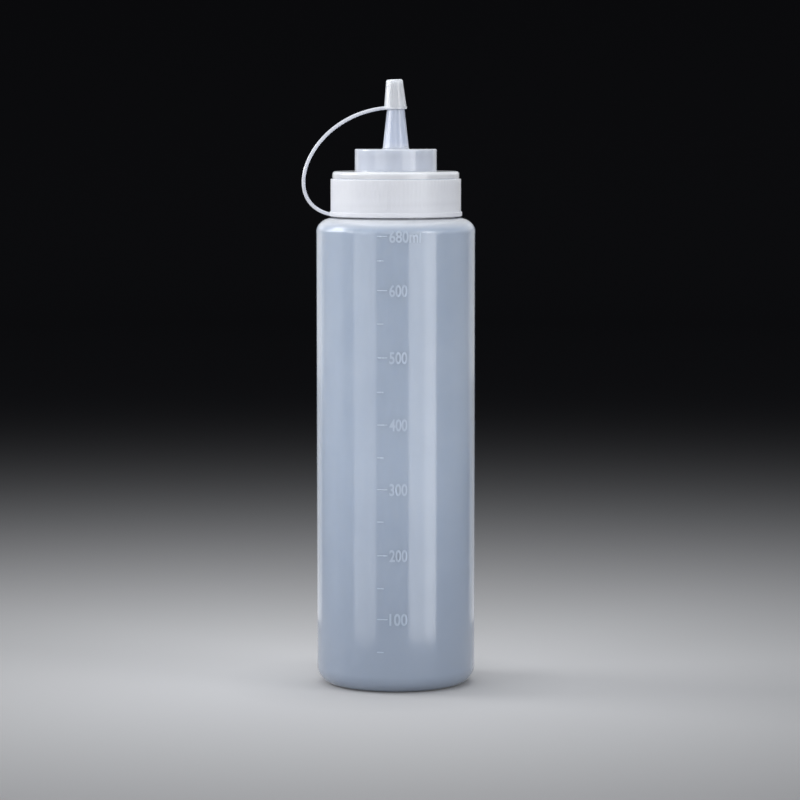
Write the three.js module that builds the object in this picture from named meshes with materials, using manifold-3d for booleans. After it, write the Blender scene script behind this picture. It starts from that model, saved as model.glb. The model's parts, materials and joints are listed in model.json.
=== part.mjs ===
// A tall condiment squeeze bottle: a blown bottle with a threaded neck, and a screw lid whose
// pouring nozzle is closed by a small tip cap on a moulded strap.
// Millimetres, Z up. The bottle stands on z = 0 round the Z axis, and the strap lies toward -X.

import * as THREE from 'three';
import { mergeVertices } from 'three/addons/utils/BufferGeometryUtils.js';
import Module from 'manifold-3d';

const wasm = await Module();
wasm.setup();

// Facets: sides of the pieces round the bottle and round the nozzle, steps in a quarter arc,
// in a turn of thread and along one strap link.
const bottleSides = 56;
const nozzleSides = 28;
const arcSteps = 5;
const threadSteps = 25;
const linkSteps = 5;

// Fits that several pieces share.
const seatGap = 0.3;
const threadPlay = 0.35;
const joinDepth = 0.4;

// Bottle: a straight wall between a rounded heel and a rounded shoulder.
const bodyRadius = 35;
const bodyWall = 1.3;
const heelRadius = 7.9;
const restRingWidth = 3.1;
const panelRampWidth = 3;
const panelRise = 1;
const wallTop = 200;
const shoulderRise = 6.2;
const shelfWidth = 1.8;

// Neck, with the bead that its mould leaves at the foot.
const neckRadius = 25.2;
const neckWall = 1.5;
const neckHeight = 17.5;
const beadWidth = 0.7;
const beadHeight = 1.6;

// One thread form, raised on the neck and inside the lid.
const threadPitch = 4.23;
const threadDepth = 1.2;
const threadRootHeight = 1.9;
const threadCrestHeight = 0.9;
const threadTurns = 1.5;
const threadFadeTurns = 0.12;
const threadStart = 6.5;
const threadStartAngle = 0.05;

// Seal ring, held between the bottle's mouth and the underside of the lid.
const sealThickness = 1;
const sealWidth = 3.4;

// Lid: a foot flange, a ribbed skirt, a smooth rim, a deck and a hollow turret. The rim's wall
// lies round the thread, the skirt stands out from the rim, and the flange from the skirt.
const footGap = 1;
const flangeStep = 0.3;
const flangeHeight = 1.6;
const skirtStep = 0.91;
const ribCount = 96;
const ribDepth = 0.3;
const lidWall = 1.19;
const rimHeight = 3.3;
const rimRound = 1.3;
const deckThickness = 1.2;
const turretRadius = 18.07;
const turretHeight = 9.8;
const turretWall = 1.3;
const turretRound = 0.6;

// Nozzle: a hollow cone on the turret, open at the tip.
const nozzleHeight = 26.1;
const nozzleBaseRadius = 6;
const nozzleTipRadius = 3.05;
const boreBaseRadius = 4.6;
const boreTipRadius = 1.5;

// Tip cap, which sits over the upper part of the nozzle, with room above its tip.
const capReach = 8.2;
const capTipRoom = 2.9;
const capTopThickness = 1.5;
const capMouthWall = 0.673;
const capTopWall = 0.828;
const capRound = 1.2;
const capLipWidth = 0.28;
const capLipHeight = 1;

// Strap between the lid's flange and the cap's lip. It bows out toward -X along one smooth
// curve, which leaves the flange and meets the lip at these angles from level, and these
// lengths pull the curve out at its two ends.
const strapThickness = 1.6;
const strapWidth = 2.6;
const strapLeaveAngle = THREE.MathUtils.degToRad(12);
const strapMeetAngle = THREE.MathUtils.degToRad(5.5);
const strapLeavePull = 24.3;
const strapMeetPull = 33.9;
const strapRootLength = 3.2;
const strapLugLength = 3;
const linkCount = 5;
const linkEndGap = 0.25;

// Heights and radii that follow from the sizes above.
const shoulderTop = wallTop + shoulderRise;
const shelfRadius = neckRadius + shelfWidth;
const shoulderWidth = bodyRadius - shelfRadius;
const mouthTop = shoulderTop + neckHeight;
const sealBottom = mouthTop + seatGap;
const lidFoot = shoulderTop + footGap;
const deckUnderside = sealBottom + sealThickness + seatGap - lidFoot;
const lidHeight = deckUnderside + deckThickness;
const lidBoreRadius = neckRadius + threadDepth + threadPlay;
const rimRadius = lidBoreRadius + lidWall;
const skirtRadius = rimRadius + skirtStep;
const flangeRadius = skirtRadius + flangeStep;
const turretTop = lidHeight + turretHeight;
const capSeatHeight = nozzleHeight - capReach;
const capFoot = turretTop + capSeatHeight;
const capHollowHeight = capReach + capTipRoom;
const capHeight = capHollowHeight + capTopThickness;
const capHollowMouth = nozzleRadiusAt(capSeatHeight) + seatGap;
const capHollowTop = nozzleRadiusAt(capSeatHeight + capHollowHeight) + seatGap;
const capMouthRadius = capHollowMouth + capMouthWall;
const capTopRadius = capHollowTop + capTopWall;

// The nozzle's outer radius at a height above the turret, also past its tip.
function nozzleRadiusAt(height) {
  return nozzleBaseRadius + ((nozzleTipRadius - nozzleBaseRadius) * height) / nozzleHeight;
}

const up = new THREE.Vector3(0, 0, 1);

function solidOf(geometry) {
  geometry.deleteAttribute('normal');
  geometry.deleteAttribute('uv');
  const merged = mergeVertices(geometry);
  return new wasm.Manifold(new wasm.Mesh({
    numProp: 3,
    vertProperties: Float32Array.from(merged.attributes.position.array),
    triVerts: Uint32Array.from(merged.index.array),
  }));
}

function geometryOf(solid) {
  const mesh = solid.getMesh();
  const geometry = new THREE.BufferGeometry();
  geometry.setAttribute('position', new THREE.BufferAttribute(mesh.vertProperties, 3));
  geometry.setIndex(new THREE.BufferAttribute(mesh.triVerts, 1));
  geometry.computeVertexNormals();
  return geometry;
}

// Points of a quarter ellipse round a centre, from one angle to another.
function arc(centreRadius, centreHeight, width, height, from, to) {
  const points = [];
  for (let i = 0; i <= arcSteps; i += 1) {
    const angle = from + ((to - from) * i) / arcSteps;
    points.push([centreRadius + width * Math.cos(angle), centreHeight + height * Math.sin(angle)]);
  }
  return points;
}

// Turns an outline of radius and height round the Z axis. Its outer side is listed upward.
function turned(outline, sides) {
  const points = outline.map(([radius, height]) => new THREE.Vector2(radius, height));
  const geometry = new THREE.LatheGeometry(points, sides);
  geometry.rotateX(Math.PI / 2);
  return solidOf(geometry);
}

function closed(outline) {
  return [...outline, outline[0]];
}

// A thread: one four-cornered section carried up a helix, rising out of its wall at both ends.
// Its root lies joinDepth inside the wall, and a negative depth makes it point at the axis.
function thread(wallRadius, depth, startHeight) {
  const steps = Math.round(threadSteps * threadTurns);
  const inward = depth < 0;
  const rootRadius = wallRadius + (inward ? joinDepth : -joinDepth);
  const sunkRadius = (wallRadius + rootRadius) / 2;
  const corners = [];
  for (let i = 0; i <= steps; i += 1) {
    const turn = (threadTurns * i) / steps;
    const toEnd = Math.min(turn, threadTurns - turn);
    const rise = THREE.MathUtils.clamp(toEnd / threadFadeTurns, 0, 1);
    const crestRadius = THREE.MathUtils.lerp(sunkRadius, wallRadius + depth, rise);
    const middle = startHeight + threadPitch * turn;
    const section = [
      [rootRadius, -threadRootHeight / 2],
      [crestRadius, -threadCrestHeight / 2],
      [crestRadius, threadCrestHeight / 2],
      [rootRadius, threadRootHeight / 2],
    ];
    if (inward) section.reverse();
    for (const [radius, offset] of section) {
      const corner = new THREE.Vector3(radius, 0, middle + offset);
      corner.applyAxisAngle(up, threadStartAngle + 2 * Math.PI * turn);
      corners.push(corner.x, corner.y, corner.z);
    }
  }
  const sides = 4;
  const faces = [];
  for (let i = 0; i < steps; i += 1) {
    for (let k = 0; k < sides; k += 1) {
      const a = i * sides + k;
      const b = i * sides + ((k + 1) % sides);
      faces.push(a, a + sides, b, b, a + sides, b + sides);
    }
  }
  const last = steps * sides;
  faces.push(0, 1, 2, 0, 2, 3);
  faces.push(last, last + 2, last + 1, last, last + 3, last + 2);
  const geometry = new THREE.BufferGeometry();
  geometry.setAttribute('position', new THREE.Float32BufferAttribute(corners, 3));
  geometry.setIndex(faces);
  return solidOf(geometry);
}

function bottle() {
  const ringOuter = bodyRadius - heelRadius;
  const ringInner = ringOuter - restRingWidth;
  const heelInside = heelRadius - bodyWall;
  const mouthInner = neckRadius - neckWall;
  const outline = [
    [0, panelRise],
    [ringInner - panelRampWidth, panelRise],
    [ringInner, 0],
    ...arc(ringOuter, heelRadius, heelRadius, heelRadius, -Math.PI / 2, 0),
    ...arc(shelfRadius, wallTop, shoulderWidth, shoulderRise, 0, Math.PI / 2),
    [neckRadius + beadWidth, shoulderTop],
    [neckRadius + beadWidth, shoulderTop + beadHeight],
    [neckRadius, shoulderTop + beadHeight],
    [neckRadius, mouthTop],
    [mouthInner, mouthTop],
    [mouthInner, shoulderTop - bodyWall],
    ...arc(shelfRadius, wallTop, shoulderWidth - bodyWall, shoulderRise - bodyWall, Math.PI / 2, 0),
    ...arc(ringOuter, heelRadius, heelInside, heelInside, 0, -Math.PI / 2),
    [ringInner, bodyWall],
    [ringInner - panelRampWidth, panelRise + bodyWall],
    [0, panelRise + bodyWall],
  ];
  const neckThread = thread(neckRadius, threadDepth, shoulderTop + threadStart);
  return geometryOf(turned(outline, bottleSides).add(neckThread));
}

function sealRing() {
  const outer = neckRadius + seatGap;
  const inner = outer - sealWidth;
  const outline = [[inner, 0], [outer, 0], [outer, sealThickness], [inner, sealThickness]];
  return geometryOf(turned(closed(outline), bottleSides));
}

// Grip ribs round the skirt: a ring whose outer edge zigzags between crests and roots.
function gripRibs() {
  const edge = new THREE.Shape();
  const points = 2 * ribCount;
  for (let i = 0; i < points; i += 1) {
    const angle = (2 * Math.PI * i) / points;
    const radius = skirtRadius - (i % 2 ? ribDepth : 0);
    const corner = [radius * Math.cos(angle), radius * Math.sin(angle)];
    if (i === 0) edge.moveTo(...corner);
    else edge.lineTo(...corner);
  }
  const hole = new THREE.Path();
  hole.absarc(0, 0, rimRadius - joinDepth, 0, 2 * Math.PI, true);
  edge.holes.push(hole);
  const foot = flangeHeight - joinDepth;
  const geometry = new THREE.ExtrudeGeometry(edge, {
    depth: lidHeight - rimHeight - foot,
    bevelEnabled: false,
    curveSegments: bottleSides,
  });
  geometry.translate(0, 0, foot);
  return solidOf(geometry);
}

// The strap's middle line in the lid's own frame, in the plane of X and height.
function strapLine() {
  const start = new THREE.Vector2(joinDepth - flangeRadius, flangeHeight / 2);
  const end = new THREE.Vector2(joinDepth - capMouthRadius, capFoot + capLipHeight / 2);
  const leave = new THREE.Vector2(-Math.cos(strapLeaveAngle), Math.sin(strapLeaveAngle));
  const meet = new THREE.Vector2(Math.cos(strapMeetAngle), Math.sin(strapMeetAngle));
  return new THREE.CubicBezierCurve(
    start,
    start.clone().addScaledVector(leave, strapLeavePull),
    end.clone().addScaledVector(meet, -strapMeetPull),
    end,
  );
}

const strap = strapLine();
const strapLength = strap.getLength();

// Where the strap bends: its first bend is at the end of the root, its last at the cap's lug.
function bendAt(index) {
  const bending = strapLength - strapRootLength - strapLugLength;
  return strapRootLength + (bending * index) / linkCount;
}

// A stretch of strap between two lengths along its middle line, with half-round ends where
// they are asked for.
function strapStretch(from, to, roundStart, roundEnd) {
  const half = strapThickness / 2;
  const first = from + (roundStart ? half : 0);
  const last = to - (roundEnd ? half : 0);
  const left = [];
  const right = [];
  for (let i = 0; i <= linkSteps; i += 1) {
    const share = (first + ((last - first) * i) / linkSteps) / strapLength;
    const middle = strap.getPointAt(share);
    const along = strap.getTangentAt(share);
    const across = new THREE.Vector2(-along.y, along.x).multiplyScalar(half);
    left.push(middle.clone().add(across));
    right.push(middle.clone().sub(across));
  }
  const endRound = roundEnd ? halfRound(last, -1) : [];
  const startRound = roundStart ? halfRound(first, 1) : [];
  const outline = [...right, ...endRound, ...left.reverse(), ...startRound];
  const geometry = new THREE.ExtrudeGeometry(new THREE.Shape(outline), {
    depth: strapWidth,
    bevelEnabled: false,
  });
  geometry.rotateX(Math.PI / 2);
  geometry.translate(0, strapWidth / 2, 0);
  return geometry;
}

// The points between the two corners of a half-round end. The side is -1 for the far end of
// a stretch and 1 for its near end.
function halfRound(length, side) {
  const middle = strap.getPointAt(length / strapLength);
  const along = strap.getTangentAt(length / strapLength).angle();
  const points = [];
  for (let i = 1; i < arcSteps; i += 1) {
    const angle = along + (side * Math.PI) / 2 + (Math.PI * i) / arcSteps;
    points.push(new THREE.Vector2(
      middle.x + (strapThickness / 2) * Math.cos(angle),
      middle.y + (strapThickness / 2) * Math.sin(angle),
    ));
  }
  return points;
}

function screwLid() {
  const ceiling = turretTop - turretWall;
  const turretInner = turretRadius - turretWall;
  const outline = [
    [lidBoreRadius, 0],
    [flangeRadius, 0],
    [flangeRadius, flangeHeight],
    [rimRadius, flangeHeight],
    ...arc(rimRadius - rimRound, lidHeight - rimRound, rimRound, rimRound, 0, Math.PI / 2),
    [turretRadius, lidHeight],
    ...arc(turretRadius - turretRound, turretTop - turretRound, turretRound, turretRound, 0, Math.PI / 2),
    [nozzleBaseRadius, turretTop],
    [nozzleTipRadius, turretTop + nozzleHeight],
    [boreTipRadius, turretTop + nozzleHeight],
    [boreBaseRadius, ceiling],
    [turretInner, ceiling],
    [turretInner, deckUnderside],
    [lidBoreRadius, deckUnderside],
  ];
  // the lid's thread runs just under the neck's, as it does when the lid is drawn down
  const drop = (threadRootHeight + threadCrestHeight) / 2 + seatGap;
  const threadFoot = shoulderTop + threadStart - drop - lidFoot;
  const lidThread = thread(lidBoreRadius, -threadDepth, threadFoot);
  const root = solidOf(strapStretch(0, strapRootLength - linkEndGap, false, true));
  const body = turned(closed(outline), bottleSides);
  return geometryOf(body.add(gripRibs()).add(lidThread).add(root));
}

function tipCap() {
  const lipRadius = capMouthRadius + capLipWidth;
  const outline = [
    [0, capHollowHeight],
    [capHollowTop, capHollowHeight],
    [capHollowMouth, 0],
    [lipRadius, 0],
    [lipRadius, capLipHeight],
    [capMouthRadius, capLipHeight],
    ...arc(capTopRadius - capRound, capHeight - capRound, capRound, capRound, 0, Math.PI / 2),
    [0, capHeight],
  ];
  const lug = strapStretch(strapLength - strapLugLength + linkEndGap, strapLength, true, false);
  lug.translate(0, 0, -capFoot);
  return geometryOf(turned(outline, nozzleSides).add(solidOf(lug)));
}

function strapLink(index) {
  const from = bendAt(index) + linkEndGap;
  const to = bendAt(index + 1) - linkEndGap;
  const geometry = strapStretch(from, to, true, true);
  const bend = strap.getPointAt(bendAt(index) / strapLength);
  geometry.translate(-bend.x, 0, -bend.y);
  return { geometry: geometryOf(solidOf(geometry)), bend };
}

function piece(name, geometry, color, roughness) {
  const material = new THREE.MeshStandardMaterial({ color, roughness, metalness: 0 });
  const mesh = new THREE.Mesh(geometry, material);
  mesh.name = name;
  return mesh;
}

const milkyBottle = '#aab8c6';
const milkyLid = '#dfe4ea';
const sealWhite = '#f0efe9';

const squeezeBottle = new THREE.Group();
squeezeBottle.add(piece('bottle', bottle(), milkyBottle, 0.35));

const seal = piece('seal_ring', sealRing(), sealWhite, 0.7);
seal.position.z = sealBottom;
squeezeBottle.add(seal);

const lidGroup = new THREE.Group();
lidGroup.position.z = lidFoot;
lidGroup.add(piece('screw_lid', screwLid(), milkyLid, 0.4));
for (let i = 0; i < linkCount; i += 1) {
  const { geometry, bend } = strapLink(i);
  const link = piece(`strap_link_${i + 1}`, geometry, milkyLid, 0.45);
  link.position.set(bend.x, 0, bend.y);
  lidGroup.add(link);
}
const cap = piece('tip_cap', tipCap(), milkyLid, 0.4);
cap.position.z = capFoot;
lidGroup.add(cap);
squeezeBottle.add(lidGroup);

export default squeezeBottle;
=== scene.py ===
"""The looks of a condiment squeeze bottle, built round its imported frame. Metres, +Z up."""

import json
import math

import bmesh
import bpy
import numpy as np
from mathutils import Matrix, Vector


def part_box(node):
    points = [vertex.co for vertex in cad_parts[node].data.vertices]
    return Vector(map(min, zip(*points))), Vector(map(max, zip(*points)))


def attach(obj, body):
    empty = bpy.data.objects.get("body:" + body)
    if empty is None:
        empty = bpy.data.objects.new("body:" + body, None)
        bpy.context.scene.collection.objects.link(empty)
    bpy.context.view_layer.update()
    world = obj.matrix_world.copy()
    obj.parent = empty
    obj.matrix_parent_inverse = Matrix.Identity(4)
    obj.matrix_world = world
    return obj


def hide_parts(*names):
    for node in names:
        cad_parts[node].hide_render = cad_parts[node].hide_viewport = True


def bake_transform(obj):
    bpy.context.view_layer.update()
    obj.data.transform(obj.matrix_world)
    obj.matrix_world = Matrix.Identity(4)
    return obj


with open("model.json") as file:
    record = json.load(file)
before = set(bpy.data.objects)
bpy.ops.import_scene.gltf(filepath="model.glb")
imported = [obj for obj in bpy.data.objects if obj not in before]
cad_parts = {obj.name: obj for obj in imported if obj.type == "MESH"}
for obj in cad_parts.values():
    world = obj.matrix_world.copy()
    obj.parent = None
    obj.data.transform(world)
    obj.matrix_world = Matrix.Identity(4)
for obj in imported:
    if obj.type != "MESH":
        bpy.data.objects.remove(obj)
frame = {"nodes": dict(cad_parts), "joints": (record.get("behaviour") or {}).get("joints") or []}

MM = 0.001
QUARTER_TURN = math.pi / 2
FULL_TURN = 2 * math.pi
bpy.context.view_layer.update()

# What the frame fixes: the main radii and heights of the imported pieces.
BOTTLE_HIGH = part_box("bottle")[1]
LID_LOW, LID_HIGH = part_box("screw_lid")
SEAL_LOW, SEAL_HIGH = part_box("seal_ring")
CAP_LOW, CAP_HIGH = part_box("tip_cap")
JOINTS = {joint["name"]: joint for joint in frame["joints"]}
LINK_COUNT = sum(name.startswith("strap_link_") for name in frame["nodes"])

BODY_RADIUS = BOTTLE_HIGH.x
MOUTH_TOP = BOTTLE_HIGH.z
LID_FOOT = LID_LOW.z
FLANGE_RADIUS = LID_HIGH.x
NOZZLE_TOP = LID_HIGH.z
SEAL_RADIUS = SEAL_HIGH.x
CAP_FOOT = CAP_LOW.z
CAP_TOP = CAP_HIGH.z

# How finely shapes are cut. Rows are spacings along an outline, and sides go round the axis.
FILLET_STEP = math.radians(15)
LEAST_FILLET_STEPS = 2
QUARTER_STEPS = 14
SHARP_ANGLE = math.radians(32)
BODY_ROW = 4 * MM
THREAD_ROW = 0.25 * MM
BOTTLE_SIDES = 256
CAP_SIDES = 96

# A stretch longer than LONG_STRETCH is kept flat in shading by a point at HOLD from each of its ends.
HOLD = 0.12 * MM
LONG_STRETCH = 4 * HOLD

# Bottle.
BODY_WALL = 1.3 * MM
HEEL_RADIUS = 7.9 * MM
REST_RING_WIDTH = 3.1 * MM
PANEL_RAMP_WIDTH = 3 * MM
PANEL_RISE = 1 * MM
NECK_HEIGHT = 17.5 * MM
SHOULDER_RISE = 6.2 * MM
SHOULDER_WIDTH = 8 * MM
SHOULDER_TOP = MOUTH_TOP - NECK_HEIGHT
WALL_TOP = SHOULDER_TOP - SHOULDER_RISE
NECK_RADIUS = 25.2 * MM
NECK_WALL = 1.5 * MM
NECK_STEP_WIDTH = 0.3 * MM
NECK_STEP_HEIGHT = 0.1 * MM
BEAD_WIDTH = 0.7 * MM
BEAD_HEIGHT = 1.6 * MM
BEAD_ROUND = 0.25 * MM
BEAD_FOOT_ROUND = 0.2 * MM
MOUTH_ROUND = 0.4 * MM

# Ripple of the blown wall. Each wave has its turns round the body and its swing per metre of height.
RIPPLE_DEPTH = 0.04 * MM
RIPPLE_WAVES = ((3, 40), (7, -23), (0, 61))

# One thread form, on the neck and inside the lid.
THREAD_PITCH = 4.23 * MM
THREAD_DEPTH = 1.1 * MM
THREAD_ROOT = 1.9 * MM
THREAD_CREST = 0.9 * MM
THREAD_TURNS = 1.5
THREAD_FADE_TURNS = 0.12
THREAD_RISE = 6.5 * MM
THREAD_DROP = 1.7 * MM
NECK_THREAD_START = SHOULDER_TOP + THREAD_RISE
LID_THREAD_START = NECK_THREAD_START - THREAD_DROP

# Screw lid.
FLANGE_WIDTH = 0.5 * MM
FLANGE_HEIGHT = 1.6 * MM
FLANGE_DROP = 0.4 * MM
FLANGE_ROUND = 0.4 * MM
RIM_STEP = 0.71 * MM
RIM_WALL = 1.19 * MM
RIM_HEIGHT = 3.3 * MM
RIM_ROUND = 1.3 * MM
RIM_FOOT_ROUND = 0.2 * MM
LID_HEIGHT = 19.3 * MM
DECK_WALL = 1.2 * MM
DECK_ROUND = 0.4 * MM
SKIRT_RADIUS = FLANGE_RADIUS - FLANGE_WIDTH
RIM_RADIUS = SKIRT_RADIUS - RIM_STEP
LID_BORE = RIM_RADIUS - RIM_WALL
LID_TOP = LID_FOOT + LID_HEIGHT
SKIRT_TOP = LID_TOP - RIM_HEIGHT
DECK_UNDERSIDE = LID_TOP - DECK_WALL
SKIRT_ROUND = 0.3 * MM
SKIRT_FOOT_ROUND = 0.25 * MM
SKIRT_FOOT_RISE = 0.1 * MM
BORE_FOOT_ROUND = 0.25 * MM
BORE_TOP_ROUND = 0.5 * MM
BORE_MARGIN = 0.5 * MM

# Grip ribs, and the number of sides that the lid has for each.
RIB_COUNT = 96
RIB_SIDES = 4
RIB_DEPTH = 0.07 * MM
RIB_START = 0.05 * MM

# A point is on the skirt if it is SKIRT_REACH outside the rim, and on the bore if within BORE_REACH.
SKIRT_REACH = 0.3 * MM
BORE_REACH = 0.1 * MM

# Turret and nozzle.
TURRET_RADIUS = 18.07 * MM
TURRET_WALL = 1.3 * MM
TURRET_HEIGHT = 9.8 * MM
TURRET_TOP = LID_TOP + TURRET_HEIGHT
TURRET_ROUND = 0.6 * MM
TURRET_FOOT_ROUND = 0.5 * MM
NOZZLE_BASE = 5.8 * MM
NOZZLE_TIP = 2.92 * MM
NOZZLE_FOOT_ROUND = 0.7 * MM
NOZZLE_TIP_ROUND = 0.35 * MM
NOZZLE_BORE_BASE = 4.6 * MM
NOZZLE_BORE_TIP = 1.5 * MM

# Tip cap.
CAP_MOUTH = 4.95 * MM
CAP_END = 3.6 * MM
CAP_END_ROUND = 1 * MM
CAP_HOLLOW_MOUTH = 4.4 * MM
CAP_HOLLOW_END = 3.2 * MM
CAP_HOLLOW_HEIGHT = 11.1 * MM
CAP_HOLLOW_ROUND = 0.5 * MM
CAP_MOUTH_ROUND = 0.15 * MM
CAP_LIP_WIDTH = 0.18 * MM
CAP_LIP_HEIGHT = 1 * MM
CAP_LIP_RAMP = 0.1 * MM
CAP_LIP_ROUND = 0.3 * MM
CAP_LIP_TOP_ROUND = 0.25 * MM
CAP_LEAN = math.radians(-2)
CAP_SHIFT = Vector((-0.15 * MM, 0, -0.12 * MM))

# Seal ring.
SEAL_WIDTH = 3.4 * MM
SEAL_ROUND = 0.2 * MM
SEAL_FILLET_STEP = math.radians(30)
SEAL_SIDES = 128

# Strap, along the same curve as the frame's links.
STRAP_THICKNESS = 1.6 * MM
STRAP_WIDTH = 2.6 * MM
STRAP_LEAVE_ANGLE = math.radians(12)
STRAP_MEET_ANGLE = math.radians(5.5)
STRAP_LEAVE_PULL = 24.3 * MM
STRAP_MEET_PULL = 33.9 * MM
STRAP_SUNK = 0.4 * MM

# The strap widens toward both of its ends. With a roundness of 1 its section would be an ellipse.
STRAP_SWELL_SHARE = 0.35
STRAP_SWELL_LENGTH = 1.2 * MM
STRAP_ROUNDNESS = 0.7

# How finely the strap is cut, and how far ahead and behind its direction is taken.
STRAP_CURVE_STEPS = 800
STRAP_PROBE = 0.1 * MM
STRAP_ROW = 0.4 * MM
STRAP_SIDES = 24
LEAST_STRAP_ROWS = 4

# Volume scale on the front: heights of its marks over the foot, in millimetres, by millilitres.
NUMBERED_MARKS = {100: 32.8, 200: 60.7, 300: 89.5, 400: 117.6, 500: 146.7, 600: 175.7, 680: 199.0}
PLAIN_MARKS = {50: 18.4, 150: 46.3, 250: 75.4, 350: 103.3, 450: 131.8, 550: 161.3, 650: 188.5}
MARK_LEFT = -8.3 * MM
LONG_MARK = 4.7 * MM
SHORT_MARK = 3 * MM
MARK_WIDTH = 0.6 * MM
MARK_RISE = 0.14 * MM
MARK_END_SHARE = 0.2
MARK_STEPS = 14
MARK_ARC_STEPS = 6
NUMBER_LEFT = -2.8 * MM
NUMBER_HEIGHT = 5.3 * MM
NUMBER_BOLD = 0.022
NUMBER_CURVE_STEPS = 6
DIGIT_WIDTH = 2.6 * MM
UNIT_WIDTH = 6 * MM
SCALE_WELD = 0.01 * MM
SCALE_SHARP_ANGLE = math.radians(40)

# Skin of the plastic: soft clouds, and the lines that the mould drew along the height.
CLOUD_SCALE = 38
CLOUD_DETAIL = 3
LINE_SCALE = 260
LINE_DETAIL = 2
LINE_STRENGTH = 0.1
LINE_DEPTH = 0.05 * MM
DRAW_SHARE = 0.04

# The range that most values of a noise lie in.
NOISE_LOW = 0.3
NOISE_HIGH = 0.7

# How the plastic bends and scatters light, and its shade over the lid's thread.
PLASTIC_IOR = 1.51
COAT_IOR = 1.5
SCATTER_DEPTH = 4 * MM
THREAD_SHADE = 0.96

# Places of the colour sockets on a mix node.
MIX_FIRST = 6
MIX_SECOND = 7
MIX_RESULT = 2

# The satin of the shoulder, and how much rougher it is. Its haze, partly painted light, begins where the
# satin is full.
SATIN_DULLNESS = 0.1
SATIN_BEGIN_SHARE = 0.1
SATIN_FULL_SHARE = 0.3
SATIN_BEGIN = WALL_TOP - SATIN_BEGIN_SHARE * SHOULDER_RISE
SATIN_FULL = WALL_TOP + SATIN_FULL_SHARE * SHOULDER_RISE
# Whiter colour of the shoulder's top: partly its thicker plastic, partly painted light from above and
# through the lid.
HAZE_AND_PAINTED_LIGHT_COLOUR = (0.86, 0.88, 0.94, 1)

# Painted shade that darkens the bottle and its scale toward the foot, and the darker tone of the nozzle.
FOOT_SHADE_BEGIN = WALL_TOP / 2
FOOT_SHADE_COLOUR = (0.31, 0.365, 0.46, 1)
SCALE_FOOT_SHADE_COLOUR = (0.37, 0.44, 0.55, 1)
NOZZLE_TONE_HEIGHT = 3 * MM
NOZZLE_COLOUR = (0.57, 0.63, 0.79, 1)

# Camera, fitted to the photo. Its sensor's width is in millimetres.
CAMERA_DISTANCE = 1.513
CAMERA_HEIGHT = 0.2532
CAMERA_PITCH = math.radians(4.819)
CAMERA_REACH = 50
SENSOR_WIDTH = 36
FOCAL_PIXELS = 3437
IMAGE_SIZE = 800
AXIS_PIXEL = 395.8

# Floor and world. The floor darkens from FLOOR_NEAR to FLOOR_FAR, by a power of the distance, as a
# painted pool of light round the bottle.
FLOOR_CENTRE = 0.05
FLOOR_RADIUS = 2.6
FLOOR_SWEEP = 0.6
FLOOR_RINGS = 14
FLOOR_SIDES = 96
FLOOR_NEAR = 0.08
FLOOR_FAR = 2.1
PAINTED_POOL_FALL = 5
FLOOR_PAINTED_DARK = (0.007, 0.007, 0.008, 1)
FLOOR_PALE = (0.5, 0.5, 0.51, 1)
FLOOR_ROUGHNESS = 0.9
WORLD_COLOUR = (0.93, 0.96, 1, 1)
WORLD_STRENGTH = 0.58

# What a softbox does: it lights and shows in reflections, or only one of the two.
BOTH = "both"
SHINE = "reflections alone"
FILL = "light alone"

# Softboxes, at an azimuth in degrees from the camera's side toward +X.
LIGHTS = [
    # name, azimuth, distance, height, width, tall, power, height that it aims at, what it does
    ("right_box", 36.2, 0.18, 0.13, 0.125, 0.26, 0.155, 0.13, SHINE),
    ("right_strip", 46.2, 0.18, 0.13, 0.05, 0.26, 0.032, 0.13, SHINE),
    ("left_box", -41.8, 0.18, 0.13, 0.1, 0.26, 0.08, 0.13, SHINE),
    ("left_band", -88, 0.9, 0.43, 1, 0.16, 2, 0.2, BOTH),
    ("left_key", -99, 0.9, 0.64, 0.42, 0.4, 3.2, 0.2, BOTH),
    ("left_side", -110, 0.9, 0.25, 1, 0.45, 0.4, 0.2, SHINE),
    ("left_back", -143, 1, 0.35, 0.6, 0.6, 0.3, 0.2, SHINE),
    ("left_edge", -141, 0.2, 0.13, 0.095, 0.26, 0.035, 0.13, SHINE),
    ("right_high", 46, 0.5, 0.36, 0.1, 0.12, 0.14, 0.25, SHINE),
    ("right_side", 112, 0.9, 0.31, 0.8, 0.6, 0.3, 0.2, SHINE),
    ("right_back", 143, 1, 0.35, 0.6, 0.6, 0.2, 0.2, SHINE),
    ("right_edge", 140, 0.2, 0.13, 0.095, 0.26, 0.027, 0.13, SHINE),
    ("top_box", 180, 0.25, 1, 0.8, 0.8, 3, 0.2, BOTH),
    ("front_fill", -5, 2, 0.5, 1.1, 0.4, 12.8, 0.2, FILL),
    ("right_fill", 62, 1.5, 0.5, 0.6, 0.4, 6.2, 0.2, FILL),
    ("left_fill", -48, 1.5, 0.5, 0.6, 0.4, 3.8, 0.2, FILL),
]


def in_scene(name, data):
    """A new object in the scene that holds a mesh, a text, a light or a camera."""
    made = bpy.data.objects.new(name, data)
    bpy.context.scene.collection.objects.link(made)
    return made


def smoothed(name, mesh, sharp_angle=SHARP_ANGLE):
    """A smooth-shaded object in the scene, with its true edges kept sharp."""
    mesh.shade_smooth()
    mesh.set_sharp_from_angle(angle=sharp_angle)
    return in_scene(name, mesh)


def new_mesh(name, vertices, faces):
    """A mesh from points and faces."""
    mesh = bpy.data.meshes.new(name)
    mesh.from_pydata(vertices, [], faces)
    return mesh


def ring_faces(low, high, sides):
    """The faces between two rings of points, which start at these places in the list of points."""
    faces = []
    for j in range(sides):
        k = (j + 1) % sides
        faces.append((low + j, low + k, high + k, high + j))
    return faces


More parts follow.
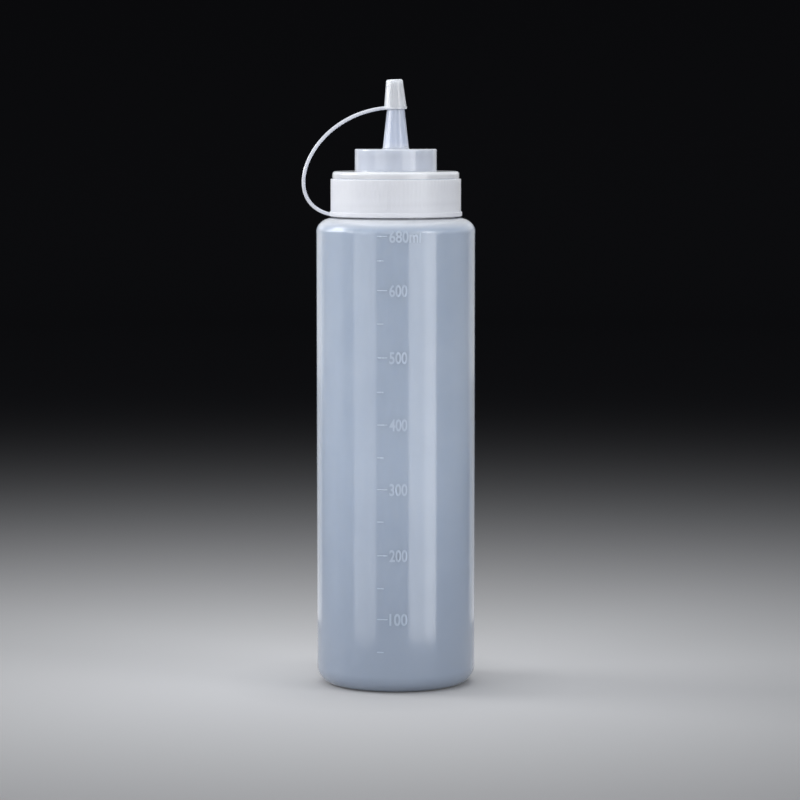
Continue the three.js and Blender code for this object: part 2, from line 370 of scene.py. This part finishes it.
def rounded(corners, step=FILLET_STEP):
    """An outline through (radius, height) corners. A third value is the corner's fillet radius."""
    points = []
    for index, corner in enumerate(corners):
        here = Vector(corner[:2])
        if len(corner) < 3:
            points.append(tuple(here))
            continue
        fillet = corner[2]
        back = (Vector(corners[index - 1][:2]) - here).normalized()
        ahead = (Vector(corners[(index + 1) % len(corners)][:2]) - here).normalized()
        half = back.angle(ahead) / 2
        centre = here + (back + ahead).normalized() * (fillet / math.sin(half))
        first = here + back * (fillet / math.tan(half)) - centre
        last = here + ahead * (fillet / math.tan(half)) - centre
        sweep = first.angle_signed(last)
        steps = max(LEAST_FILLET_STEPS, math.ceil(abs(sweep) / step))
        for i in range(steps + 1):
            arm = Matrix.Rotation(-sweep * i / steps, 2) @ first
            points.append(tuple(centre + arm))
    return points


def quarter(centre_radius, centre_height, width, height, start, end):
    """Points of a quarter ellipse from one angle to another."""
    angles = np.linspace(start, end, QUARTER_STEPS + 1)
    return [(centre_radius + width * math.cos(a), centre_height + height * math.sin(a)) for a in angles]


def between(start, end, share):
    """The point at a share of the way from one (radius, height) point to another."""
    return tuple(a + (b - a) * share for a, b in zip(start, end))


def straight(start, end, row):
    """The points strictly between two ends of a straight stretch, about one row apart."""
    steps = max(1, round(math.dist(start, end) / row))
    return [between(start, end, share) for share in np.linspace(0, 1, steps + 1)[1:-1]]


def held(outline, closed):
    """The outline with extra points near the ends of its long stretches, which keep these flat."""
    points = [outline[0]]
    ends = [*outline[1:], outline[0]] if closed else outline[1:]
    for start, end in zip(outline, ends):
        length = math.dist(start, end)
        if length > LONG_STRETCH:
            points.append(between(start, end, HOLD / length))
            points.append(between(start, end, 1 - HOLD / length))
        points.append(end)
    return points[:-1] if closed else points


def turned(name, outline, sides, shape=None):
    """A body turned round the Z axis. An outline that starts and ends on the axis makes a shell with
    two poles, and any other outline closes on itself. shape(radius, height, angle) may move points."""
    poles = outline[0][0] == 0
    rings = held(outline, False)[1:-1] if poles else held(outline, True)
    count = len(rings)
    radius, height = (np.repeat(column[:, None], sides, axis=1) for column in np.array(rings).T)
    angle = np.tile(np.linspace(0, FULL_TURN, sides, endpoint=False), (count, 1))
    if shape:
        radius = shape(radius, height, angle)
    points = np.stack([radius * np.cos(angle), radius * np.sin(angle), height], axis=-1)
    vertices = [tuple(point) for point in points.reshape(-1, 3)]
    faces = []
    for i in range(count - 1 if poles else count):
        faces += ring_faces(i * sides, (i + 1) % count * sides, sides)
    if poles:
        first = len(vertices)
        last = first + 1
        top = (count - 1) * sides
        vertices += [(0, 0, outline[0][1]), (0, 0, outline[-1][1])]
        for j in range(sides):
            k = (j + 1) % sides
            faces.append((first, k, j))
            faces.append((last, top + j, top + k))
    return smoothed(name, new_mesh(name, vertices, faces))


def thread_height(angle, height, start):
    """How far the thread stands out, from 0 to 1, at an angle and a height."""
    out = np.zeros_like(height)
    for lap in range(math.ceil(THREAD_TURNS) + 1):
        turn = angle / FULL_TURN + lap
        offset = np.abs(height - start - THREAD_PITCH * turn)
        flank = np.clip((THREAD_ROOT / 2 - offset) / ((THREAD_ROOT - THREAD_CREST) / 2), 0, 1)
        fade = np.clip(np.minimum(turn, THREAD_TURNS - turn) / THREAD_FADE_TURNS, 0, 1)
        out = np.maximum(out, flank * flank * (3 - 2 * flank) * fade)
    return out


def bottle_shape(radius, height, angle):
    """Raises the thread on the neck, and leaves the faint ripple of blowing on the body's wall."""
    on_neck = (np.abs(radius - NECK_RADIUS) < BEAD_WIDTH / 2) & (height < MOUTH_TOP - THREAD_CREST)
    radius = radius + on_neck * THREAD_DEPTH * thread_height(angle, height, NECK_THREAD_START)
    over_heel = np.clip((height - HEEL_RADIUS) / HEEL_RADIUS, 0, 1)
    under_shoulder = np.clip((WALL_TOP - height) / HEEL_RADIUS, 0, 1)
    count = len(RIPPLE_WAVES)
    waves = sum(np.sin(turns * angle + swing * height) for turns, swing in RIPPLE_WAVES)
    return radius - over_heel * under_shoulder * RIPPLE_DEPTH * (count + waves) / (2 * count)


def make_bottle():
    """The blown bottle. Its outline runs from the base's centre up the outside and over the mouth,
    and down the inside to the base's centre again."""
    ring_outer = BODY_RADIUS - HEEL_RADIUS
    ring_inner = ring_outer - REST_RING_WIDTH
    panel = ring_inner - PANEL_RAMP_WIDTH
    panel_inside = PANEL_RISE + BODY_WALL
    shelf = BODY_RADIUS - SHOULDER_WIDTH
    inside = BODY_RADIUS - BODY_WALL
    heel_inside = HEEL_RADIUS - BODY_WALL
    bead = NECK_RADIUS + BEAD_WIDTH
    bead_top = SHOULDER_TOP + BEAD_HEIGHT
    mouth_inner = NECK_RADIUS - NECK_WALL
    mouth_start = MOUTH_TOP - BEAD_WIDTH
    bead_corners = [
        (shelf, SHOULDER_TOP),
        (bead, SHOULDER_TOP, BEAD_FOOT_ROUND),
        (bead, bead_top, BEAD_ROUND),
        (NECK_RADIUS, bead_top, BEAD_FOOT_ROUND),
        (NECK_RADIUS, MOUTH_TOP),
    ]
    mouth_corners = [
        (NECK_RADIUS, mouth_start),
        (NECK_RADIUS, MOUTH_TOP, MOUTH_ROUND),
        (mouth_inner, MOUTH_TOP, MOUTH_ROUND),
        (mouth_inner, SHOULDER_TOP),
    ]
    outline = [(0, PANEL_RISE)]
    outline += straight((0, PANEL_RISE), (panel, PANEL_RISE), BODY_ROW)
    outline += [(panel, PANEL_RISE), (ring_inner, 0)]
    outline += quarter(ring_outer, HEEL_RADIUS, HEEL_RADIUS, HEEL_RADIUS, -QUARTER_TURN, 0)
    outline += straight((BODY_RADIUS, HEEL_RADIUS), (BODY_RADIUS, WALL_TOP), BODY_ROW)
    outline += quarter(shelf, WALL_TOP, SHOULDER_WIDTH, SHOULDER_RISE, 0, QUARTER_TURN)
    outline += rounded(bead_corners)[1:-1]
    outline += straight((NECK_RADIUS, bead_top), (NECK_RADIUS, mouth_start), THREAD_ROW)
    outline += rounded(mouth_corners)[:-1]
    outline += [(mouth_inner, SHOULDER_TOP)]
    outline += [(mouth_inner + NECK_STEP_WIDTH, SHOULDER_TOP - BODY_WALL + NECK_STEP_HEIGHT)]
    outline += quarter(
        shelf, WALL_TOP, SHOULDER_WIDTH - BODY_WALL, SHOULDER_RISE - BODY_WALL, QUARTER_TURN, 0
    )
    outline += straight((inside, WALL_TOP), (inside, HEEL_RADIUS), BODY_ROW)
    outline += quarter(ring_outer, HEEL_RADIUS, heel_inside, heel_inside, 0, -QUARTER_TURN)
    outline += [(ring_inner, BODY_WALL), (panel, panel_inside)]
    outline += straight((panel, panel_inside), (0, panel_inside), BODY_ROW)
    outline += [(0, panel_inside)]
    return turned("bottle_shell", outline, BOTTLE_SIDES, bottle_shape)


def lid_shape(radius, height, angle):
    """Cuts the grip ribs into the skirt and raises the thread on the bore."""
    on_skirt = (radius > RIM_RADIUS + SKIRT_REACH) & (height > LID_FOOT + FLANGE_HEIGHT + RIB_START)
    ribs = (1 - np.cos(RIB_COUNT * angle)) / 2
    radius = radius - on_skirt * RIB_DEPTH * ribs
    on_bore = np.abs(radius - LID_BORE) < BORE_REACH
    return radius - on_bore * THREAD_DEPTH * thread_height(angle, height, LID_THREAD_START)


def make_lid():
    """The screw lid. Its outline runs from the flange up the outside to the nozzle's tip, and down
    the inside to the flange again."""
    foot = LID_FOOT - FLANGE_DROP
    skirt_foot = LID_FOOT + FLANGE_HEIGHT
    ceiling = TURRET_TOP - TURRET_WALL
    turret_inner = TURRET_RADIUS - TURRET_WALL
    corners = [
        (LID_BORE, foot, BORE_FOOT_ROUND),
        (FLANGE_RADIUS, foot, FLANGE_ROUND),
        (FLANGE_RADIUS, skirt_foot, SKIRT_FOOT_ROUND),
        (SKIRT_RADIUS, skirt_foot + SKIRT_FOOT_RISE),
        (SKIRT_RADIUS, SKIRT_TOP, SKIRT_ROUND),
        (RIM_RADIUS, SKIRT_TOP, RIM_FOOT_ROUND),
        (RIM_RADIUS, LID_TOP, RIM_ROUND),
        (TURRET_RADIUS, LID_TOP, TURRET_FOOT_ROUND),
        (TURRET_RADIUS, TURRET_TOP, TURRET_ROUND),
        (NOZZLE_BASE, TURRET_TOP, NOZZLE_FOOT_ROUND),
        (NOZZLE_TIP, NOZZLE_TOP, NOZZLE_TIP_ROUND),
        (NOZZLE_BORE_TIP, NOZZLE_TOP, NOZZLE_TIP_ROUND),
        (NOZZLE_BORE_BASE, ceiling, TURRET_ROUND),
        (turret_inner, ceiling, TURRET_ROUND),
        (turret_inner, DECK_UNDERSIDE, DECK_ROUND),
        (LID_BORE, DECK_UNDERSIDE, BORE_TOP_ROUND),
    ]
    bore_top = (LID_BORE, DECK_UNDERSIDE - BORE_MARGIN)
    bore_foot = (LID_BORE, LID_FOOT + BORE_MARGIN)
    outline = rounded(corners) + straight(bore_top, bore_foot, THREAD_ROW)
    return turned("lid_shell", outline, RIB_SIDES * RIB_COUNT, lid_shape)


def make_cap():
    """The tip cap, hollow from below, which sits on the nozzle with a small lean."""
    hollow_top = CAP_FOOT + CAP_HOLLOW_HEIGHT
    lip = CAP_MOUTH + CAP_LIP_WIDTH
    lip_top = CAP_FOOT + CAP_LIP_HEIGHT
    corners = [
        (0, hollow_top),
        (CAP_HOLLOW_END, hollow_top, CAP_HOLLOW_ROUND),
        (CAP_HOLLOW_MOUTH, CAP_FOOT, CAP_MOUTH_ROUND),
        (lip, CAP_FOOT, CAP_LIP_ROUND),
        (lip, lip_top, CAP_LIP_TOP_ROUND),
        (CAP_MOUTH, lip_top + CAP_LIP_RAMP),
        (CAP_END, CAP_TOP, CAP_END_ROUND),
        (0, CAP_TOP),
    ]
    outline = [corners[0], *rounded(corners)[1:-1], corners[-1]]
    cap = turned("tip_cap_shell", outline, CAP_SIDES)
    foot = Matrix.Translation((0, 0, CAP_FOOT))
    lean = foot @ Matrix.Rotation(CAP_LEAN, 4, "Y") @ foot.inverted()
    cap.data.transform(Matrix.Translation(CAP_SHIFT) @ lean)
    return cap


def make_seal():
    """The flat liner ring between the bottle's mouth and the lid."""
    inner = SEAL_RADIUS - SEAL_WIDTH
    corners = [
        (inner, SEAL_LOW.z, SEAL_ROUND),
        (SEAL_RADIUS, SEAL_LOW.z, SEAL_ROUND),
        (SEAL_RADIUS, SEAL_HIGH.z, SEAL_ROUND),
        (inner, SEAL_HIGH.z, SEAL_ROUND),
    ]
    return turned("seal_liner", rounded(corners, SEAL_FILLET_STEP), SEAL_SIDES)


def strap_curve():
    """The strap's middle line as (x, z) points, and the length to each."""
    start = np.array([STRAP_SUNK - FLANGE_RADIUS, LID_FOOT + FLANGE_HEIGHT / 2 - FLANGE_DROP])
    end = np.array([STRAP_SUNK - CAP_MOUTH, CAP_FOOT + CAP_LIP_HEIGHT / 2])
    leave = np.array([-math.cos(STRAP_LEAVE_ANGLE), math.sin(STRAP_LEAVE_ANGLE)])
    meet = np.array([math.cos(STRAP_MEET_ANGLE), math.sin(STRAP_MEET_ANGLE)])
    control_a = start + STRAP_LEAVE_PULL * leave
    control_b = end - STRAP_MEET_PULL * meet
    t = np.linspace(0, 1, STRAP_CURVE_STEPS + 1)[:, None]
    back = 1 - t
    line = back**3 * start + 3 * back**2 * t * control_a + 3 * back * t**2 * control_b + t**3 * end
    lengths = np.r_[0, np.cumsum(np.linalg.norm(np.diff(line, axis=0), axis=1))]
    return line, lengths


def strap_point(line, lengths, at):
    """The (x, z) point of the strap's middle line at a length along it."""
    return np.array([np.interp(at, lengths, line[:, k]) for k in (0, 1)])


def squared(value):
    """A sine or cosine pushed outward, which makes a softly squared section of a round one."""
    return math.copysign(abs(value) ** STRAP_ROUNDNESS, value)


def strap_stretch(name, line, lengths, begin, finish):
    """A closed stretch of the strap with a softly squared section, between two lengths."""
    rows = max(LEAST_STRAP_ROWS, round((finish - begin) / STRAP_ROW))
    vertices = []
    for i in range(rows + 1):
        at = begin + (finish - begin) * i / rows
        x, z = strap_point(line, lengths, at)
        ahead = strap_point(line, lengths, at + STRAP_PROBE)
        behind = strap_point(line, lengths, at - STRAP_PROBE)
        along = (ahead - behind) / np.linalg.norm(ahead - behind)
        across = np.array([-along[1], along[0]])
        to_end = min(at, lengths[-1] - at)
        swell = 1 + STRAP_SWELL_SHARE * math.exp(-to_end / STRAP_SWELL_LENGTH)
        for k in range(STRAP_SIDES):
            angle = FULL_TURN * k / STRAP_SIDES
            flat = squared(math.cos(angle)) * STRAP_THICKNESS / 2
            wide = squared(math.sin(angle)) * STRAP_WIDTH / 2 * swell
            vertices.append((x + across[0] * flat, wide, z + across[1] * flat))
    faces = []
    for i in range(rows):
        faces += ring_faces(i * STRAP_SIDES, (i + 1) * STRAP_SIDES, STRAP_SIDES)
    faces.append(tuple(range(STRAP_SIDES - 1, -1, -1)))
    faces.append(tuple(rows * STRAP_SIDES + k for k in range(STRAP_SIDES)))
    return smoothed(name, new_mesh(name, vertices, faces))


def wrapped(mesh, radius):
    """Bends a flat mesh, drawn in x and z with its relief toward -y, round the bottle's front."""
    for vertex in mesh.vertices:
        x, y, z = vertex.co
        angle = x / radius
        reach = radius - y
        vertex.co = (reach * math.sin(angle), -reach * math.cos(angle), z)


def make_mark(left, length, height):
    """Points and faces of one raised mark, half round in section with rounded ends."""
    end_round = MARK_WIDTH / 2
    across = MARK_ARC_STEPS + 1
    vertices = []
    for i in range(MARK_STEPS + 1):
        x = left + length * i / MARK_STEPS
        to_end = min(x - left, left + length - x)
        inset = max(0, 1 - to_end / end_round)
        half = end_round * math.sqrt(max(MARK_END_SHARE**2, 1 - inset**2))
        for j in range(across):
            angle = math.pi * j / MARK_ARC_STEPS
            vertices.append((x, -MARK_RISE * math.sin(angle), height + half * math.cos(angle)))
    faces = []
    for i in range(MARK_STEPS):
        low = i * across
        high = low + across
        for j in range(MARK_ARC_STEPS):
            faces.append((low + j, low + j + 1, high + j + 1, high + j))
        faces.append((low, high, high + across - 1, high - 1))
    faces.append(tuple(range(across))[::-1])
    faces.append(tuple(range(MARK_STEPS * across, (MARK_STEPS + 1) * across)))
    return vertices, faces


def make_number(text, width):
    """The mesh of a plain number of a set width, in x and z, with its relief toward -y. The text's
    own size and depth don't matter, because its mesh is fitted to the named sizes."""
    curve = bpy.data.curves.new("number", "FONT")
    curve.body = text
    curve.size = 1
    curve.extrude = 0.5
    curve.offset = NUMBER_BOLD
    curve.resolution_u = NUMBER_CURVE_STEPS
    holder = in_scene("number", curve)
    bpy.context.view_layer.update()
    mesh = bpy.data.meshes.new_from_object(holder.evaluated_get(bpy.context.evaluated_depsgraph_get()))
    bpy.data.objects.remove(holder)
    points = np.array([v.co for v in mesh.vertices])
    low = points.min(0)
    high = points.max(0)
    for vertex, (x, y, z) in zip(mesh.vertices, (points - low) / (high - low)):
        vertex.co = (x * width, -z * MARK_RISE, (y - 0.5) * NUMBER_HEIGHT)
    return mesh


def make_scale():
    """All marks and numbers of the volume scale, as one piece that lies on the bottle's wall."""
    build = bmesh.new()
    marks = [(height, LONG_MARK) for height in NUMBERED_MARKS.values()]
    marks += [(height, SHORT_MARK) for height in PLAIN_MARKS.values()]
    for height, length in marks:
        vertices, faces = make_mark(MARK_LEFT, length, height * MM)
        made = [build.verts.new(v) for v in vertices]
        for face in faces:
            build.faces.new([made[i] for i in face])
    for millilitres, height in NUMBERED_MARKS.items():
        text = str(millilitres)
        width = len(text) * DIGIT_WIDTH
        if millilitres == max(NUMBERED_MARKS):
            text += "ml"
            width += UNIT_WIDTH
        number = make_number(text, width)
        number.transform(Matrix.Translation((NUMBER_LEFT, 0, height * MM)))
        build.from_mesh(number)
    bmesh.ops.remove_doubles(build, verts=build.verts, dist=SCALE_WELD)
    bmesh.ops.recalc_face_normals(build, faces=build.faces)
    mesh = bpy.data.meshes.new("volume_scale")
    build.to_mesh(mesh)
    build.free()
    wrapped(mesh, BODY_RADIUS)
    return smoothed("volume_scale", mesh, SCALE_SHARP_ANGLE)


def feed(tree, fed, inputs):
    """Gives the inputs of a shader node their values or links."""
    for key, value in inputs.items():
        if isinstance(value, bpy.types.NodeSocket):
            tree.links.new(value, fed.inputs[key])
        else:
            fed.inputs[key].default_value = value


def node(tree, kind, inputs=None, **settings):
    """A shader node with its settings and its input values or links."""
    made = tree.nodes.new(kind)
    for key, value in settings.items():
        setattr(made, key, value)
    feed(tree, made, inputs or {})
    return made


def ranged(tree, value, low, high, from_low=NOISE_LOW, from_high=NOISE_HIGH):
    """A value mapped from one range onto another."""
    inputs = {"Value": value, "From Min": from_low, "From Max": from_high, "To Min": low, "To Max": high}
    return node(tree, "ShaderNodeMapRange", inputs).outputs["Result"]


def mixed(tree, share, first, second):
    """A colour that goes from the first to the second as the share goes from 0 to 1."""
    inputs = {"Factor": share, MIX_FIRST: first, MIX_SECOND: second}
    return node(tree, "ShaderNodeMix", inputs, data_type="RGBA").outputs[MIX_RESULT]


def noise(tree, place, scale, detail):
    """A noise value at a place."""
    inputs = {"Vector": place, "Scale": scale, "Detail": detail}
    return node(tree, "ShaderNodeTexNoise", inputs).outputs["Fac"]


def maths(tree, operation, first, second):
    """The result of a sum or another operation on two values."""
    return node(tree, "ShaderNodeMath", {0: first, 1: second}, operation=operation).outputs["Value"]


def new_material(name):
    """A material with its node tree, its shader and the place that its patterns are drawn by."""
    material = bpy.data.materials.new(name)
    material.use_nodes = True
    tree = material.node_tree
    place = node(tree, "ShaderNodeTexCoord").outputs["Object"]
    return material, tree, tree.nodes["Principled BSDF"], place


def plastic(name, thin, thick, gloss, transmission=0, subsurface=0, coat=0, zones=(), satin=None):
    """Milky polyethylene, which goes from a thin to a thick colour in soft clouds and has faint draw
    lines in its skin. gloss is the range of its roughness. Each zone is a colour with the heights
    between which it takes over, and satin the heights between which the gloss goes dull."""
    material, tree, shader, place = new_material(name)
    stretch = node(tree, "ShaderNodeMapping", {"Vector": place, "Scale": (1, 1, DRAW_SHARE)})
    cloud = noise(tree, place, CLOUD_SCALE, CLOUD_DETAIL)
    lines = noise(tree, stretch.outputs["Vector"], LINE_SCALE, LINE_DETAIL)
    height = node(tree, "ShaderNodeSeparateXYZ", {"Vector": place}).outputs["Z"]
    colour = mixed(tree, ranged(tree, cloud, 0, 1), thin, thick)
    for zone_colour, begins, full in zones:
        colour = mixed(tree, ranged(tree, height, 0, 1, begins, full), colour, zone_colour)
    roughness = ranged(tree, lines, *gloss)
    strength = LINE_STRENGTH
    if satin:
        dull = ranged(tree, height, 0, SATIN_DULLNESS, *satin)
        roughness = maths(tree, "ADD", roughness, dull)
        strength = ranged(tree, height, LINE_STRENGTH, 0, *satin)
    bump = node(tree, "ShaderNodeBump", {"Strength": strength, "Distance": LINE_DEPTH, "Height": lines})
    inputs = {
        "Base Color": colour,
        "Roughness": roughness,
        "Normal": bump.outputs["Normal"],
        "IOR": PLASTIC_IOR,
        "Transmission Weight": transmission,
        "Subsurface Weight": subsurface,
        "Subsurface Radius": (1, 1, 1),
        "Subsurface Scale": SCATTER_DEPTH,
        "Coat Weight": coat,
        "Coat Roughness": gloss[0],
        "Coat IOR": COAT_IOR,
    }
    feed(tree, shader, inputs)
    if satin:
        feed(tree, shader, {"Coat Weight": ranged(tree, height, coat, coat / 2, *satin)})
    return material


def show_thread(material):
    """Darkens a material a little along the thread that shows faintly through the skirt's wall."""
    tree = material.node_tree
    base = tree.nodes["Principled BSDF"].inputs["Base Color"]
    place = node(tree, "ShaderNodeTexCoord").outputs["Object"]
    parts = node(tree, "ShaderNodeSeparateXYZ", {"Vector": place}).outputs
    lap = ranged(tree, maths(tree, "ARCTAN2", parts["Y"], parts["X"]), 0, 1, -math.pi, math.pi)
    thread_end = LID_THREAD_START + THREAD_TURNS * THREAD_PITCH
    turn = ranged(tree, parts["Z"], 0, THREAD_TURNS, LID_THREAD_START, thread_end)
    away = maths(tree, "PINGPONG", maths(tree, "SUBTRACT", turn, lap), 1)
    band = ranged(tree, away, THREAD_SHADE, 1, 0, THREAD_ROOT / THREAD_PITCH)
    inputs = {0: base.links[0].from_socket, "Scale": band}
    shade = node(tree, "ShaderNodeVectorMath", inputs, operation="SCALE")
    tree.links.new(shade.outputs["Vector"], base)


def dress(piece, material, body, slot, *nodes):
    """Gives a piece its material, the body that it rides on and the nodes that it replaces. slot is not
    used.
    """
    piece.data.materials.clear()
    piece.data.materials.append(material)
    if body:
        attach(piece, body)
    if nodes:
        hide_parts(*nodes)


def dress_lid(lid, body_material, skirt_material, rim_material):
    """Gives the lid its three materials, of which the ribbed skirt and the smooth rim have their own."""
    dress(lid, body_material, "lid", "milky_lid", "screw_lid")
    lid.data.materials.append(skirt_material)
    lid.data.materials.append(rim_material)
    skirt_place = 1
    rim_place = 2
    for face in lid.data.polygons:
        reach = math.hypot(face.center.x, face.center.y)
        if reach > RIM_RADIUS + RIB_DEPTH and face.center.z < SKIRT_TOP:
            face.material_index = skirt_place
        elif reach > TURRET_RADIUS + RIM_ROUND and face.center.z > DECK_UNDERSIDE - RIM_ROUND:
            face.material_index = rim_place


def make_strap(material):
    """The strap as stretches that meet at the middles of the links, each holding the place of one joint.
    """
    line, lengths = strap_curve()
    names = ["tip_cap_open", *[f"strap_bend_{i}" for i in range(2, LINK_COUNT + 1)], "tip_cap_swing"]
    bends = []
    for name in names:
        x, _, z = JOINTS[name]["pos_m"]
        bends.append(lengths[np.argmin(np.hypot(line[:, 0] - x, line[:, 1] - z))])
    middles = [(a + b) / 2 for a, b in zip(bends, bends[1:])]
    begins = [0, *middles]
    finishes = [*middles, lengths[-1]]

    def at(length):
        """The point of the strap's middle line at a length along it."""
        x, z = strap_point(line, lengths, length)
        return (x, 0, z)

    for i, name in enumerate(names):
        piece = strap_stretch(f"strap_stretch_{i + 1}", line, lengths, begins[i], finishes[i])
        dress(piece, material, None, "milky_lid", *([f"strap_link_{i + 1}"] if i < LINK_COUNT else []))
        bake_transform(piece)


def make_stage():
    """A pale floor that sweeps up into a wall on every side, and darkens away from the bottle in a
    painted pool of light.
    """
    outline = [(radius, 0) for radius in np.geomspace(FLOOR_CENTRE, FLOOR_RADIUS, FLOOR_RINGS)]
    outline += quarter(FLOOR_RADIUS, FLOOR_SWEEP, FLOOR_SWEEP, FLOOR_SWEEP, -QUARTER_TURN, 0)[1:]
    vertices = [(0, 0, 0)]
    for radius, height in outline:
        for j in range(FLOOR_SIDES):
            angle = FULL_TURN * j / FLOOR_SIDES
            vertices.append((radius * math.cos(angle), radius * math.sin(angle), height))
    faces = [(0, 1 + j, 1 + (j + 1) % FLOOR_SIDES) for j in range(FLOOR_SIDES)]
    for i in range(len(outline) - 1):
        low = 1 + i * FLOOR_SIDES
        high = low + FLOOR_SIDES
        for j in range(FLOOR_SIDES):
            k = (j + 1) % FLOOR_SIDES
            faces.append((low + j, high + j, high + k, low + k))
    mesh = new_mesh("studio_sweep", vertices, faces)
    mesh.shade_smooth()
    floor = in_scene("studio_sweep", mesh)
    material, tree, shader, place = new_material("studio_sweep")
    away = node(tree, "ShaderNodeVectorMath", {0: place}, operation="LENGTH").outputs["Value"]
    # A painted pool of light: the colour darkens with the distance from the bottle.
    near = ranged(tree, away, 1, 0, FLOOR_NEAR, FLOOR_FAR)
    colour = mixed(tree, maths(tree, "POWER", near, PAINTED_POOL_FALL), FLOOR_PAINTED_DARK, FLOOR_PALE)
    feed(tree, shader, {"Base Color": colour, "Roughness": FLOOR_ROUGHNESS, "Specular IOR Level": 0})
    mesh.materials.append(material)


def make_light(name, azimuth, distance, height, width, tall, power, aim_height, use):
    """A softbox at a distance from the bottle's axis, turned toward a point of the axis."""
    light = bpy.data.lights.new(name, "AREA")
    light.shape = "RECTANGLE"
    light.size = width
    light.size_y = tall
    light.energy = power
    lamp = in_scene(name, light)
    lamp.visible_glossy = use != FILL
    lamp.visible_diffuse = use != SHINE
    angle = math.radians(azimuth)
    lamp.location = (distance * math.sin(angle), -distance * math.cos(angle), height)
    aim = Vector((0, 0, aim_height)) - lamp.location
    lamp.rotation_euler = aim.to_track_quat("-Z", "Y").to_euler()


def make_camera():
    """The camera of the photo, which sees the bottle's axis a little left of the picture's middle."""
    camera = bpy.data.cameras.new("camera")
    camera.sensor_width = SENSOR_WIDTH
    camera.lens = SENSOR_WIDTH * FOCAL_PIXELS / IMAGE_SIZE
    camera.clip_end = CAMERA_REACH
    holder = in_scene("camera", camera)
    holder.location = (0, -CAMERA_DISTANCE, CAMERA_HEIGHT)
    turn = math.atan((IMAGE_SIZE / 2 - AXIS_PIXEL) / FOCAL_PIXELS)
    holder.rotation_euler = (QUARTER_TURN - CAMERA_PITCH, 0, -turn)
    bpy.context.scene.camera = holder


def make_world():
    """The even pale light that comes from all round."""
    world = bpy.data.worlds.new("studio")
    bpy.context.scene.world = world
    world.use_nodes = True
    background = world.node_tree.nodes["Background"]
    feed(world.node_tree, background, {"Color": WORLD_COLOUR, "Strength": WORLD_STRENGTH})


make_camera()
make_world()
make_stage()
for light_row in LIGHTS:
    make_light(*light_row)

milky_body = plastic(
    "milky_body",
    thin=(0.49, 0.575, 0.73, 1),
    thick=(0.53, 0.615, 0.77, 1),
    gloss=(0.11, 0.15),
    transmission=0.2,
    subsurface=0.6,
    coat=0.8,
    # Haze at the shoulder, partly painted light, and painted shade toward the foot.
    zones=((HAZE_AND_PAINTED_LIGHT_COLOUR, SATIN_FULL, SHOULDER_TOP), (FOOT_SHADE_COLOUR, FOOT_SHADE_BEGIN, 0)),
    satin=(SATIN_BEGIN, SATIN_FULL),
)
scale_relief = plastic(
    "scale_relief",
    thin=(0.54, 0.62, 0.75, 1),
    thick=(0.58, 0.66, 0.78, 1),
    gloss=(0.22, 0.3),
    transmission=0.1,
    # Painted shade toward the foot.
    zones=((SCALE_FOOT_SHADE_COLOUR, FOOT_SHADE_BEGIN, 0),),
)
milky_lid = plastic(
    "milky_lid",
    thin=(0.66, 0.71, 0.84, 1),
    thick=(0.7, 0.75, 0.88, 1),
    gloss=(0.1, 0.14),
    transmission=0.16,
    subsurface=0.7,
    coat=0.8,
    zones=((NOZZLE_COLOUR, TURRET_TOP, TURRET_TOP + NOZZLE_TONE_HEIGHT),),
)
milky_rim = plastic(
    "milky_rim",
    thin=(0.79, 0.81, 0.89, 1),
    thick=(0.82, 0.84, 0.92, 1),
    gloss=(0.16, 0.22),
    transmission=0.05,
    subsurface=0.7,
    coat=0.8,
)
satin_skirt = plastic(
    "satin_skirt",
    thin=(0.78, 0.8, 0.88, 1),
    thick=(0.81, 0.83, 0.91, 1),
    gloss=(0.36, 0.44),
    transmission=0.05,
    subsurface=0.7,
)
show_thread(satin_skirt)
milky_cap = plastic(
    "milky_cap",
    thin=(0.79, 0.84, 0.96, 1),
    thick=(0.83, 0.87, 0.99, 1),
    gloss=(0.1, 0.14),
    transmission=0.1,
    subsurface=0.7,
    coat=0.8,
)
milky_strap = plastic(
    "milky_strap",
    thin=(0.66, 0.68, 0.76, 1),
    thick=(0.72, 0.74, 0.8, 1),
    gloss=(0.16, 0.22),
    coat=0.6,
)
seal_white = plastic(
    "seal_white",
    thin=(0.84, 0.83, 0.8, 1),
    thick=(0.9, 0.89, 0.86, 1),
    gloss=(0.6, 0.75),
)

dress(make_bottle(), milky_body, "bottle", "milky_body", "bottle")
dress(make_scale(), scale_relief, "bottle", "milky_body")
dress(make_seal(), seal_white, "seal", "seal_white", "seal_ring")
dress_lid(make_lid(), milky_lid, satin_skirt, milky_rim)
dress(make_cap(), milky_cap, "cap", "milky_lid", "tip_cap")
make_strap(milky_strap)

bpy.context.scene.view_settings.view_transform = "Standard"
